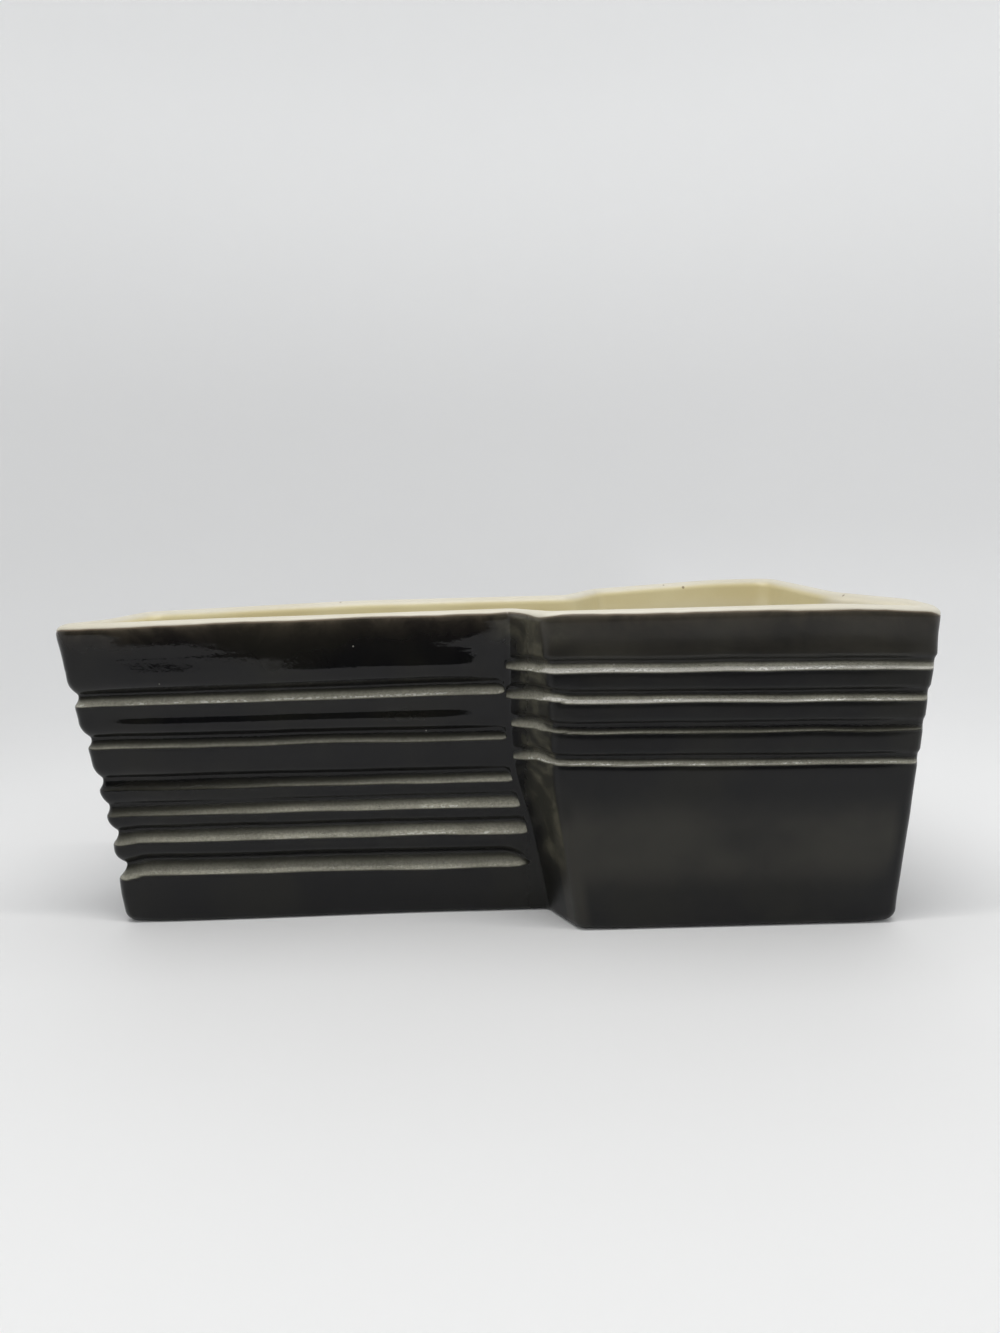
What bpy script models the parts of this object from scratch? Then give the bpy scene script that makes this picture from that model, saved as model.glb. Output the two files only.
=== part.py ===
"""A long ceramic trough planter in two staggered boxes.

The right box is the deeper one: it stands forward of the left box at the front and behind it at the
back. Six ledges run round the left box and four run round the upper half of the right box. The
planter is one slip-cast clay body with two coats of glaze, a black one outside and a cream one
inside and over the lip.

Each layer is a stack of outlines. An outline is the plan of the rim with every wall moved inwards
by its lean, by the grooves at that height and by the depth of the layer.

Metres, +Z up. X runs along the planter and -Y is its front. The origin is the middle of the base.
"""
import math

import bpy

# Overall size at the rim
RIM_LENGTH = 0.341
RIM_HEIGHT = 0.127
RIGHT_DEPTH = 0.127

# Plan of the rim: the left box is set back at the front and stops short at the back
LEFT_DEPTH = 0.069
FRONT_STEP = 0.019
FRONT_JOG_X = 0.0088
FRONT_JOG_RUN = 0.0142
BACK_JOG_X = 0.0325
BACK_JOG_RUN = 0.0145
BACK_SLANT = 0.013
LEFT_END_SLANT = 0.0155
RIGHT_END_SLANT = 0.032

# How far each wall leans inwards from the rim to the base
FRONT_LEAN = 0.012
BACK_LEAN = 0.010
LEFT_END_LEAN = 0.013
RIGHT_END_LEAN = 0.0085
JOG_LEAN = 0.0170
JOG_WAIST_LEAN = 0.0045
JOG_WAIST_HEIGHT = 0.062
LEFT_WAIST = 0.0018

# Vertical corners and the edge at the floor
CORNER_RADIUS = 0.007
INNER_CORNER_RADIUS = 0.005
SMALLEST_RADIUS = 0.001
CORNER_STEPS = 3
BASE_RADIUS = 0.004

# Ledges, named by the height of the groove above each
LEFT_GROOVES = (0.0968, 0.0789, 0.0620, 0.0500, 0.0395, 0.0248)
RIGHT_GROOVES = (0.1083, 0.0963, 0.0839, 0.0710)
LEFT_GROOVE_DEPTH = 0.0023
LOWEST_GROOVE_DEPTH = 0.0034
RIGHT_GROOVE_DEPTH = 0.0013
GROOVE_RISE = 0.0052
LEDGE_DROP = 0.0036
LEDGE_SHOULDER = 0.0016
LEDGE_SHOULDER_DEPTH = 0.5
FADE_CLEAR = 0.004
FADE_LENGTH = 0.007

# Slight unevenness of the rim, corner by corner, as fired
SAG_FRONT_LEFT = -0.0008
SAG_FRONT_INNER = 0.0
RISE_FRONT_CORNER = 0.0018
SAG_FRONT_RIGHT = -0.0010
RISE_BACK_RIGHT = 0.0004
RISE_BACK_MIDDLE = 0.0018
RISE_BACK_JOG = -0.0002
SAG_BACK_INNER = -0.0002
SAG_BACK_LEFT = -0.0030
BACK_MIDDLE_SHARE = 0.36
LEFT_SAG_START = 0.080
RIGHT_SAG_START = 0.012
RIGHT_SAG_FULL = 0.060

# Wall, floor and glaze
LIP_THICKNESS = 0.0075
WALL_THICKNESS = 0.0090
WALL_BLEND_DEPTH = 0.016
FLOOR_THICKNESS = 0.009
FLOOR_FILLET = 0.006
FLOOR_FILLET_RUN = 0.005
GLAZE_THICKNESS = 0.0007
LAYER_GAP = 0.0003
GLAZE_FOOT_CLEAR = 0.0015
BLACK_LIP_ANGLE = 20.0
CREAM_LIP_ANGLE = 26.0
LIP_STEPS = 5
FOOT_WIDTH = 0.008
FOOT_RECESS = 0.0012

LIP_RADIUS = LIP_THICKNESS / 2
LIP_BASE = RIM_HEIGHT - LIP_RADIUS
BODY_INSET = GLAZE_THICKNESS + LAYER_GAP

FRONT_LEFT, FRONT_INNER, FRONT_CORNER, FRONT_RIGHT = 0, 1, 2, 3
BACK_RIGHT, BACK_JOG, BACK_INNER, BACK_LEFT = 4, 5, 6, 7
LEFT_CORNERS = (FRONT_LEFT, FRONT_INNER, BACK_INNER, BACK_LEFT)
LEFT_EDGES = (FRONT_LEFT, BACK_INNER, BACK_LEFT)
FADING_EDGES = (FRONT_LEFT, BACK_INNER)
CONCAVE = (FRONT_INNER, BACK_INNER)

CORNER_SAG = (
    SAG_FRONT_LEFT,
    SAG_FRONT_INNER,
    RISE_FRONT_CORNER,
    SAG_FRONT_RIGHT,
    RISE_BACK_RIGHT,
    RISE_BACK_JOG,
    SAG_BACK_INNER,
    SAG_BACK_LEFT,
)


def smooth(low, high, value):
    t = min(1.0, max(0.0, (value - low) / (high - low)))
    return t * t * (3 - 2 * t)


def rim_plan():
    """The eight corners of the rim, anticlockwise from the front left."""
    half = RIM_LENGTH / 2
    front = -RIGHT_DEPTH / 2
    back = RIGHT_DEPTH / 2
    left_front = front + FRONT_STEP
    left_back = left_front + LEFT_DEPTH
    return (
        (-half, left_front),
        (FRONT_JOG_X, left_front),
        (FRONT_JOG_X + FRONT_JOG_RUN, front),
        (half, front),
        (half - RIGHT_END_SLANT, back),
        (BACK_JOG_X + BACK_JOG_RUN, back - BACK_SLANT),
        (BACK_JOG_X, left_back),
        (-half + LEFT_END_SLANT, left_back),
    )


def groove_depth(height, grooves, depth, lowest):
    """How far the surface is cut in at this height."""
    cut = 0.0
    for groove in grooves:
        deepest = lowest if groove == grooves[-1] else depth
        if groove <= height < groove + GROOVE_RISE:
            t = (groove + GROOVE_RISE - height) / GROOVE_RISE
            cut = max(cut, deepest * t * t)
        elif groove - LEDGE_SHOULDER <= height < groove:
            t = (groove - height) / LEDGE_SHOULDER
            cut = max(cut, deepest * (1 - (1 - LEDGE_SHOULDER_DEPTH) * t))
        elif groove - LEDGE_DROP < height < groove - LEDGE_SHOULDER:
            t = (height - groove + LEDGE_DROP) / (LEDGE_DROP - LEDGE_SHOULDER)
            cut = max(cut, deepest * LEDGE_SHOULDER_DEPTH * t * t)
    return cut


def jog_lean(height):
    """The short front return leans little in its ridged half and more below it."""
    if height > JOG_WAIST_HEIGHT:
        return JOG_WAIST_LEAN * (RIM_HEIGHT - height) / (RIM_HEIGHT - JOG_WAIST_HEIGHT)
    t = (JOG_WAIST_HEIGHT - height) / JOG_WAIST_HEIGHT
    return JOG_WAIST_LEAN + (JOG_LEAN - JOG_WAIST_LEAN) * t


def edge_leans(height):
    drop = min(1.0, max(0.0, 1 - height / RIM_HEIGHT))
    waist = LEFT_WAIST * math.sin(math.pi * drop) ** 2
    return (
        FRONT_LEAN * drop + waist,
        jog_lean(height),
        FRONT_LEAN * drop,
        RIGHT_END_LEAN * drop,
        BACK_LEAN * drop,
        BACK_LEAN * drop,
        BACK_LEAN * drop + waist,
        LEFT_END_LEAN * drop + waist,
    )


def edge_lines(insets):
    """Each edge of the rim plan moved inwards, as a point, a direction and the inward normal."""
    plan = rim_plan()
    lines = []
    for i in range(len(plan)):
        ax, ay = plan[i]
        bx, by = plan[(i + 1) % len(plan)]
        length = math.hypot(bx - ax, by - ay)
        dx = (bx - ax) / length
        dy = (by - ay) / length
        lines.append((ax - dy * insets[i], ay + dx * insets[i], dx, dy))
    return lines


def crossing(first, second):
    ax, ay, adx, ady = first
    bx, by, bdx, bdy = second
    scale = adx * bdy - ady * bdx
    t = ((bx - ax) * bdy - (by - ay) * bdx) / scale
    return ax + adx * t, ay + ady * t


def wall_lines(inset, height, left_cut, right_cut):
    """The walls at this height as lines. The second list leaves out the left box's grooves where
    they fade out short of the inner corners."""
    plain = [inset + lean for lean in edge_leans(height)]
    cut = [left_cut if i in LEFT_EDGES else right_cut for i in range(len(plain))]
    full = [p + c for p, c in zip(plain, cut)]
    faded = [plain[i] if i in FADING_EDGES else full[i] for i in range(len(plain))]
    return edge_lines(full), edge_lines(faded)


def rounding(before, after, corner, inset):
    """The turn, radius and reach of the rounding at one corner."""
    turn = math.atan2(before[2] * after[3] - before[3] * after[2],
                      before[2] * after[2] + before[3] * after[3])
    if corner in CONCAVE:
        radius = INNER_CORNER_RADIUS + inset
    else:
        radius = max(CORNER_RADIUS - inset, SMALLEST_RADIUS)
    return turn, radius, radius * abs(math.tan(turn / 2))


def arc(corner, before, turn, radius, reach):
    """Points round one corner."""
    cx, cy = corner
    dx, dy = before[2:]
    side = 1 if turn > 0 else -1
    mx = cx - dx * reach - dy * radius * side
    my = cy - dy * reach + dx * radius * side
    start = math.atan2(-dx * side, dy * side)
    angles = [start + turn * step / CORNER_STEPS for step in range(CORNER_STEPS + 1)]
    return [(mx + radius * math.cos(angle), my + radius * math.sin(angle)) for angle in angles]


def corner_lift(corner, height):
    """How far the fired rim rises or sags at one corner. The base stays flat."""
    if corner in LEFT_CORNERS:
        return CORNER_SAG[corner] * smooth(LEFT_SAG_START, RIM_HEIGHT, height)
    return CORNER_SAG[corner] * smooth(RIGHT_SAG_START, RIGHT_SAG_FULL, height)


def along(corners, i, share, height, depth):
    """A point on the wall after corner i, moved inwards by depth, with the lift of both ends shared."""
    ax, ay = corners[i]
    bx, by = corners[(i + 1) % len(corners)]
    length = math.hypot(bx - ax, by - ay)
    x = ax + (bx - ax) * share - (by - ay) / length * depth
    y = ay + (by - ay) * share + (bx - ax) / length * depth
    lift = corner_lift(i, height) * (1 - share) + corner_lift((i + 1) % len(corners), height) * share
    return x, y, height + lift


def ring(inset, height, grooved):
    """One closed outline: the walls at this height, moved inwards by inset."""
    left_cut = 0.0
    right_cut = 0.0
    if grooved:
        left_cut = groove_depth(height, LEFT_GROOVES, LEFT_GROOVE_DEPTH, LOWEST_GROOVE_DEPTH)
        right_cut = groove_depth(height, RIGHT_GROOVES, RIGHT_GROOVE_DEPTH, RIGHT_GROOVE_DEPTH)
    full, faded = wall_lines(inset, height, left_cut, right_cut)

    corners = []
    for i in range(len(full)):
        before = faded[i - 1] if i == FRONT_INNER else full[i - 1]
        after = faded[i] if i == BACK_INNER else full[i]
        corners.append(crossing(before, after))
    rounds = [rounding(full[i - 1], full[i], i, inset) for i in range(len(full))]

    points = []
    for i, corner in enumerate(corners):
        lift = corner_lift(i, height)
        points += [(x, y, height + lift) for x, y in arc(corner, full[i - 1], *rounds[i])]
        nx, ny = corners[(i + 1) % len(corners)]
        length = math.hypot(nx - corner[0], ny - corner[1])
        if i == FRONT_LEFT:
            clear = max(FADE_CLEAR, rounds[FRONT_INNER][2] + SMALLEST_RADIUS)
            points.append(along(corners, i, 1 - (clear + FADE_LENGTH) / length, height, left_cut))
            points.append(along(corners, i, 1 - clear / length, height, 0.0))
        if i == BACK_INNER:
            clear = max(FADE_CLEAR, rounds[BACK_INNER][2] + SMALLEST_RADIUS)
            points.append(along(corners, i, clear / length, height, 0.0))
            points.append(along(corners, i, (clear + FADE_LENGTH) / length, height, left_cut))
        if i == BACK_RIGHT:
            x, y, z = along(corners, i, BACK_MIDDLE_SHARE, height, 0.0)
            rise = RISE_BACK_MIDDLE * smooth(RIGHT_SAG_START, RIGHT_SAG_FULL, height)
            points.append((x, y, height + rise))
    return points


def outside_heights():
    """Every height at which the outside changes slope, from just above the base edge to the lip."""
    heights = {BASE_RADIUS, JOG_WAIST_HEIGHT, LIP_BASE}
    for groove in LEFT_GROOVES + RIGHT_GROOVES:
        heights.add(groove)
        heights.add(groove - LEDGE_SHOULDER)
        heights.add(groove - LEDGE_DROP)
        heights.add(groove + GROOVE_RISE / 2)
        heights.add(groove + GROOVE_RISE)
    kept = []
    for height in sorted(heights):
        if not kept or height - kept[-1] > 0.0007:
            kept.append(height)
    return kept


def base_edge(height):
    """How far the rounded edge at the floor is set in."""
    rest = BASE_RADIUS - height
    return BASE_RADIUS - math.sqrt(BASE_RADIUS ** 2 - rest ** 2)


def outside_rings(inset, lowest):
    """Rings up the outside, from the rounded base edge to the start of the lip."""
    rings = []
    for height in (0.0, BASE_RADIUS * 0.1, BASE_RADIUS * 0.375, BASE_RADIUS * 0.65):
        if height >= lowest:
            rings.append(ring(inset + base_edge(height), height, True))
    for height in outside_heights():
        rings.append(ring(inset, height, True))
    return rings


def lip_rings(radius, first, last, steps):
    """Rings over the rounded lip, by angle from the outside to the inside."""
    rings = []
    for step in range(steps + 1):
        angle = math.radians(first + (last - first) * step / steps)
        inset = LIP_RADIUS - radius * math.cos(angle)
        rings.append(ring(inset, LIP_BASE + radius * math.sin(angle), False))
    return rings


def inside_rings(skin):
    """Rings down the inside and out over the floor. skin is how far they lie under the cream."""
    blend = LIP_BASE - WALL_BLEND_DEPTH
    bottom = FLOOR_THICKNESS - skin
    wall = WALL_THICKNESS - skin
    rings = []
    for share in (0.5, 1.0):
        inset = LIP_THICKNESS - skin + (WALL_THICKNESS - LIP_THICKNESS) * smooth(0, 1, share)
        rings.append(ring(inset, LIP_BASE - WALL_BLEND_DEPTH * share, False))
    for share in (0.33, 0.66):
        height = blend + (bottom + FLOOR_FILLET - blend) * share
        rings.append(ring(wall, height, False))
    for angle in (0, 45, 90):
        a = math.radians(angle)
        inset = wall + FLOOR_FILLET_RUN * (1 - math.cos(a))
        rings.append(ring(inset, bottom + FLOOR_FILLET * (1 - math.sin(a)), False))
    return rings


def sweep(rings, closed):
    """Triangles between rings in order. A closed sweep joins the last ring to the first.

    An open one is closed by a flat face over its first ring and another over its last. Each strip is
    cut along the same diagonal whichever way it runs, so that neighbouring layers match.
    """
    count = len(rings[0])
    points = [p for outline in rings for p in outline]
    faces = []
    pairs = len(rings) if closed else len(rings) - 1
    for r in range(pairs):
        following = (r + 1) % len(rings)
        rising = rings[following][0][2] >= rings[r][0][2]
        first = r * count
        second = following * count
        for i in range(count):
            j = (i + 1) % count
            if rising:
                faces.append((first + i, first + j, second + j))
                faces.append((first + i, second + j, second + i))
            else:
                faces.append((first + i, first + j, second + i))
                faces.append((first + j, second + j, second + i))
    if not closed:
        last = (len(rings) - 1) * count
        faces.append(tuple(range(count - 1, -1, -1)))
        faces.append(tuple(range(last, last + count)))
    return points, faces


def middle():
    """The middle of the planter's outline, which is widest at the base of the lip."""
    outline = ring(0.0, LIP_BASE, False)
    xs = [p[0] for p in outline]
    ys = [p[1] for p in outline]
    return (min(xs) + max(xs)) / 2, (min(ys) + max(ys)) / 2


def add_piece(name, points, faces, colour, roughness):
    mx, my = middle()
    mesh = bpy.data.meshes.new(name)
    mesh.from_pydata([(x - mx, y - my, z) for x, y, z in points], [], faces)
    for polygon in mesh.polygons:
        polygon.use_smooth = True
    material = bpy.data.materials.new(name)
    material.use_nodes = True
    shader = material.node_tree.nodes["Principled BSDF"]
    shader.inputs["Base Color"].default_value = (*colour, 1.0)
    shader.inputs["Roughness"].default_value = roughness
    material.diffuse_color = (*colour, 1.0)
    mesh.materials.append(material)
    piece = bpy.data.objects.new(name, mesh)
    bpy.context.scene.collection.objects.link(piece)
    return piece


def clay_body():
    """The fired clay: foot, outside with its ledges, lip and hollow inside."""
    foot_inner = BASE_RADIUS + BODY_INSET + FOOT_WIDTH
    rings = [ring(foot_inner + FOOT_RECESS, FOOT_RECESS, False), ring(foot_inner, 0.0, False)]
    rings += outside_rings(BODY_INSET, 0.0)
    rings += lip_rings(LIP_RADIUS - BODY_INSET, 0, 180, LIP_STEPS)[1:]
    rings += inside_rings(BODY_INSET)
    points, faces = sweep(rings, False)
    add_piece("clay_body", points, faces, (0.72, 0.66, 0.55), 0.9)


def black_glaze():
    """The outside coat, from just above the floor to the cream lap on the lip."""
    outer = outside_rings(0.0, GLAZE_FOOT_CLEAR)
    outer += lip_rings(LIP_RADIUS, 0, BLACK_LIP_ANGLE, 2)[1:]
    inner = outside_rings(GLAZE_THICKNESS, GLAZE_FOOT_CLEAR)
    inner += lip_rings(LIP_RADIUS - GLAZE_THICKNESS, 0, BLACK_LIP_ANGLE, 2)[1:]
    points, faces = sweep(outer + inner[::-1], True)
    add_piece("black_outer_glaze", points, faces, (0.012, 0.012, 0.011), 0.18)


def cream_glaze():
    """The inside coat, which runs over the lip and laps a little way down the outside."""
    under = lip_rings(LIP_RADIUS - GLAZE_THICKNESS, CREAM_LIP_ANGLE, 180, LIP_STEPS)
    under += inside_rings(GLAZE_THICKNESS)
    over = lip_rings(LIP_RADIUS, CREAM_LIP_ANGLE, 180, LIP_STEPS)
    over += inside_rings(0.0)
    points, faces = sweep(under[::-1] + over, False)
    add_piece("cream_inner_glaze", points, faces, (0.80, 0.74, 0.60), 0.25)


def build():
    for item in list(bpy.data.objects):
        bpy.data.objects.remove(item, do_unlink=True)
    clay_body()
    black_glaze()
    cream_glaze()


build()
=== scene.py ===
"""The looks of the ceramic planter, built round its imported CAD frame.

Each of the three layers is made again as a fine mesh. They share one plan of eight corners, the same
as the solids have, and one set of columns round it, so a row of points is an outline at one height.
The ledges are pressed into the rows of the outside.

Metres, +Z up, in the frame's own axes. X runs along the planter and -Y is its front.
"""
import math
from collections import namedtuple

import bpy
import numpy as np
from mathutils import Matrix, Vector


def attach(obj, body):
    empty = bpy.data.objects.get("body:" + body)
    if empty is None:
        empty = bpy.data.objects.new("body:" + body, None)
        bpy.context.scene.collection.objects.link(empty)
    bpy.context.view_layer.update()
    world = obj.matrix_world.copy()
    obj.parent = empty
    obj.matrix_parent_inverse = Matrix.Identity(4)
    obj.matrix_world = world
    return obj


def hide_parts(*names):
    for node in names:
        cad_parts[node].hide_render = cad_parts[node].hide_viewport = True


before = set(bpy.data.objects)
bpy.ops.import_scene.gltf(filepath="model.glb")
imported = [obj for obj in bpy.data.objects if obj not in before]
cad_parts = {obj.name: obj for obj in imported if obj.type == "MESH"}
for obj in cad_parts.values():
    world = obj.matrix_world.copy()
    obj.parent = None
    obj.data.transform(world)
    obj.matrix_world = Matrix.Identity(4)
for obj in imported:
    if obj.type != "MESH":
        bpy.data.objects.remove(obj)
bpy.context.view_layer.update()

MM = 0.001


def mm(*values):
    """These millimetres as an array in metres."""
    return np.array(values) * MM


# Plan of the rim, as in the solids
RIM_LENGTH = 341 * MM
RIM_HEIGHT = 127 * MM
RIGHT_DEPTH = 127 * MM
LEFT_DEPTH = 69 * MM
FRONT_STEP = 19 * MM
FRONT_JOG_X = 8.8 * MM
FRONT_JOG_RUN = 14.2 * MM
BACK_JOG_X = 32.5 * MM
BACK_JOG_RUN = 14.5 * MM
BACK_SLANT = 13 * MM
LEFT_END_SLANT = 15.5 * MM
RIGHT_END_SLANT = 32 * MM

# How far each wall leans inwards from the rim to the base. The returns lean more below their waist.
FRONT_LEAN = 12 * MM
BACK_LEAN = 10 * MM
LEFT_END_LEAN = 11.6 * MM
RIGHT_END_LEAN = 6.4 * MM
JOG_LEAN = 17 * MM
JOG_WAIST_LEAN = 4.5 * MM
JOG_WAIST_HEIGHT = 62 * MM
JOG_WAIST_SOFTNESS = 5 * MM
LEFT_WAIST = 1.8 * MM
# The two end walls aren't quite straight: at these heights they stand in by this much
LEFT_HOLLOW_HEIGHTS = mm(0, 12, 25, 41, 56, 72, 86, 97, 108, 121)
LEFT_HOLLOWS = mm(0.3, 0.2, 1.4, 1.6, 0.9, 0.9, 0.1, 0.4, 1.2, 0.0)
RIGHT_HOLLOW_HEIGHTS = mm(15, 45, 60, 90, 104, 121)
RIGHT_HOLLOWS = mm(0.0, 0.3, 0.6, 0.6, 0.2, 0.0)
# The left box's front stands this much further back at the base, next to the step
LEFT_TWIST = 2.6 * MM
LEFT_TWIST_START = (0.1, 0.75)

# The step's front corner stands this much aside of a straight line at these heights
STEP_SHIFT_HEIGHTS = mm(0, 12, 35, 52, 67, 85, 105, 122)
STEP_SHIFTS = mm(-1.8, -1.2, -0.2, 0.4, 0.8, 0.5, -0.5, -2.2)
STEP_SHIFT_FADE = 45 * MM

# The same for the inner corner where the step starts
INNER_SHIFT_HEIGHTS = mm(0, 20, 40, 60, 85, 122)
INNER_SHIFTS = mm(0.5, 1.0, 1.6, 0.2, -1.2, -1.2)
INNER_SHIFT_FADE = 40 * MM

# The corners are roundest at the lip, and tighter from this height down
CORNER_RADIUS = 7 * MM
LOW_CORNER_RADIUS = 4.5 * MM
LOW_CORNER_HEIGHT = 109 * MM
STEP_CORNER_RADIUS = 4.5 * MM
INNER_CORNER_RADIUS = 2.5 * MM
# The corners of the inside, rounder than outside as the cast is thicker there
INSIDE_CORNER_RADIUS = 6 * MM
BASE_RADIUS = 2.2 * MM
END_BASE_RADIUS = 5 * MM
LEFT_BASE_RADIUS = 4.4 * MM
STEP_BASE_RADIUS = 3.6 * MM
END_BASE_REACH = 7 * MM

# The whole outside is set in by this much, so that its true arcs stay inside the solids' box
OUTER_INSET = 0.25 * MM
CREST_DROP = 0.05 * MM

# Walls and coats. The walls thicken below the lip over the blend depth.
LIP_THICKNESS = 7.5 * MM
WALL_THICKNESS = 9 * MM
WALL_BLEND_DEPTH = 16 * MM
FLOOR_THICKNESS = 9 * MM
FLOOR_FILLET = 6 * MM
GLAZE_THICKNESS = 0.7 * MM
CLAY_INSET = 1.0 * MM
GLAZE_FOOT_CLEAR = 0.2 * MM
FOOT_WIDTH = 8 * MM
FOOT_RECESS = 1.2 * MM
LIP_RADIUS = LIP_THICKNESS / 2
LIP_BASE = RIM_HEIGHT - LIP_RADIUS

# One ledge as values for every column round the planter
Ledge = namedtuple("Ledge", "heights tall deep rise hollow nose stand upright top pale shine")

FRONT_LEFT, FRONT_INNER, FRONT_CORNER, FRONT_RIGHT = 0, 1, 2, 3
BACK_RIGHT, BACK_JOG, BACK_INNER, BACK_LEFT = 4, 5, 6, 7
CORNERS = 8
CONCAVE = np.isin(np.arange(CORNERS), (FRONT_INNER, BACK_INNER))

# Ledges from the top down, in mm: height of the groove, height of the ledge's lower edge, depth, the
# height gained over the planter's length, and last a power: how hollow the slope between the two is
LEFT_LEDGES = (
    (98.6, 94.1, 2.3, 0.6, 2.2),
    (80.0, 75.6, 2.1, -0.7, 2.6),
    (62.7, 57.8, 2.0, -0.8, 2.4),
    (51.6, 46.8, 1.9, -0.3, 2.2),
    (40.6, 35.3, 2.5, -0.7, 2.0),
    (27.0, 20.6, 3.4, -1.2, 2.0),
)
RIGHT_LEDGES = (
    (108.9, 105.1, 1.5, -2.3, 2.8),
    (97.3, 93.2, 1.8, -2.9, 3.6),
    (85.0, 81.1, 1.3, -2.4, 4.0),
    (72.1, 68.2, 1.6, -3.0, 3.8),
)
# The band above each ledge: how far it stands out at its foot, in mm, and the part of it that slopes out
LEFT_BANDS = ((1.9, 0.0, 0.7), (1.35, 0.40, 0.86), (1.2, 0, 1), (0.8, 0, 1), (0.9, 0, 1), (1.1, 0, 1))
RIGHT_BANDS = ((1.0, 0.55, 1), (0.25, 0, 1), (0.35, 0, 1), (0.5, 0, 1))
# How pale the glaze is at each ledge's edge, at the left end and at the right, and how fast this fades
# up the ledge. The paleness is thin glaze together with a painted highlight on the edge.
LEFT_PALE_HIGHLIGHT = ((1.15, 1.2), (0.80, 0.80), (0.30, 1.0), (0.55, 1.2), (0.78, 1.15), (0.88, 0.95))
LEFT_SHINE = (1.0, 1.2, 1.0, 0.62, 0.55, 0.60)
RIGHT_PALE_HIGHLIGHT = ((2.0, 1.6), (2.1, 1.3), (1.0, 0.65), (1.5, 1.25))
RIGHT_SHINE = (1.2, 1.7, 2.4, 1.9)
# Slow changes along a ledge, each as the size of its bumps in mm and how strong it is: in the ledge's
# height (mm), in how tall it is and in how deep it is (shares)
LEFT_CHANGES = ((70, 0.17), (50, 0.05), (60, 0.07))
RIGHT_CHANGES = ((60, 0.15), (45, 0.07), (50, 0.10))
LEFT_SEED = 100
RIGHT_SEED = 200

# Next to the step the front ledges of the left box end at these X, with rounded ends this long, in mm
LEFT_LEDGE_ENDS = (7.4, 7.6, 7.6, 7.6, 7.9, 5.2)
LEFT_END_LENGTHS = (5.0, 4.6, 4.2, 4.2, 5.0, 11.0)
BACK_END_CLEAR = 4.5 * MM
END_NARROWING = 0.62
END_LEAST = 0.1
END_PALE_HIGHLIGHT = 0.75
BAND_END_REACH = 24 * MM
# On its end wall they are deeper, lie this much lower (mm), and the bands stand out less
LEFT_END_DEEPER = 1.15
LEFT_END_DROPS = (0.3, 0.3, 0.3, 0.5, 1.1, 2.0)
LEFT_END_DROP_REACH = 8 * MM
LEFT_END_STAND = 0.35
LEFT_STAND_REACH = 20 * MM
TOP_BAND_STAND = 0.66
TOP_BAND_REACH = (50 * MM, 120 * MM)
# At the right end the ledges are shallower and the bands stand out less
RIGHT_END_SHALLOWER = 0.3
RIGHT_END_STANDS = (0.25, 0.4, 0.4, 0.4)
RIGHT_END_FADE = 14 * MM
# Over each groove the wall curves out again over this height, and under each edge is a short rounded nose
OVERHANG_RISE = 6 * MM
RIGHT_OVERHANG_RISE = 1.3 * MM
OVERHANG_CURVE = 2.2
NOSE_LENGTH = 2.6 * MM
LEFT_NOSE = 0.08 * MM
RIGHT_NOSES = (0.22, 0.36, 0.50, 0.80)
# The ledges of the right box change height along the step's short return, in mm: by this much at the
# left box, past the return's middle, and at its front corner
JOG_CLIMBS = (-1.4, -1.2, -0.4, -1.6)
MIDDLE_CLIMBS = (-0.1, 0.6, 1.1, 1.0)
CLIMB_MIDDLE = 0.55
CORNER_CLIMBS = (0.0, 0.8, 0.5, 0.3)
CORNER_CLIMB_REACH = 5 * MM
# There they start this far from the left box (mm), with a rounded start, and are bolder up to the corner
JOG_DELAYS = (0.2, 0.0, 1.6, 1.4)
JOG_START = 3.5 * MM
JOG_LEAST = 0.4
JOG_LEDGE_GAIN = 1.2
JOG_TURN = 0.7
JOG_SHINE = 0.85
# On the return the ledges' edges carry pale glaze and a painted highlight
JOG_PALE_HIGHLIGHT = 1.15
JOG_START_PALE_HIGHLIGHT = 0.75
JOG_PALE_HIGHLIGHT_REACH = 9 * MM
# The pale edge, thin glaze with a painted highlight, reaches this far under a ledge, and the thick glaze
# with its painted shade this far round a groove. A shallower ledge has neither.
EDGE_BAND = 1.2 * MM
GROOVE_MIDDLE = 0.3 * MM
GROOVE_REACH = 0.8 * MM
SHALLOW = 0.2 * MM

# Soft waviness of the walls, and long low streaks, plainest in the left box's top band
WIDE_WAVE = 55 * MM
WIDE_DEPTH = 0.2 * MM
LEAST_UNEVEN = 0.3 * MM
STREAK_STRETCH = (0.24, 0.24, 1.0)
STREAK_HEIGHT = 14 * MM
STREAK_DEPTH = 0.13 * MM
FAINT_STREAK_DEPTH = 0.03 * MM
STREAK_BAND = (99 * MM, 105 * MM)
STREAK_END_REACH = 20 * MM
EVEN_FOOT = 12 * MM
EVEN_TOP = 8 * MM

# Rise and sag of the fired rim from each corner on, as the share of the way to the next one and the lift
# there in mm. They fade out downwards to these heights.
LEFT_SAG_START = 80 * MM
RIGHT_SAG_START = 100 * MM
RIM_LIFTS = {
    FRONT_LEFT: ((0.0, -0.8), (0.34, 0.1), (0.55, 0.3), (0.80, 0.7)),
    FRONT_INNER: ((0.0, 1.0),),
    FRONT_CORNER: ((0.0, 1.7), (0.25, 1.65), (0.75, 1.75), (0.90, 0.6)),
    FRONT_RIGHT: ((0.0, -0.2), (0.13, 0.9), (0.55, -0.5), (0.80, 0.7)),
    BACK_RIGHT: ((0.0, 1.5), (0.12, 1.8), (0.36, 1.85)),
    BACK_JOG: ((0.0, -0.2),),
    BACK_INNER: ((0.0, -0.2), (0.5, -0.3)),
    BACK_LEFT: ((0.0, -2.8), (0.5, -2.6)),
}
LEFT_CORNERS = (FRONT_LEFT, FRONT_INNER, BACK_INNER, BACK_LEFT)
LIFT_SOFTNESS = 3.5 * MM

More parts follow.
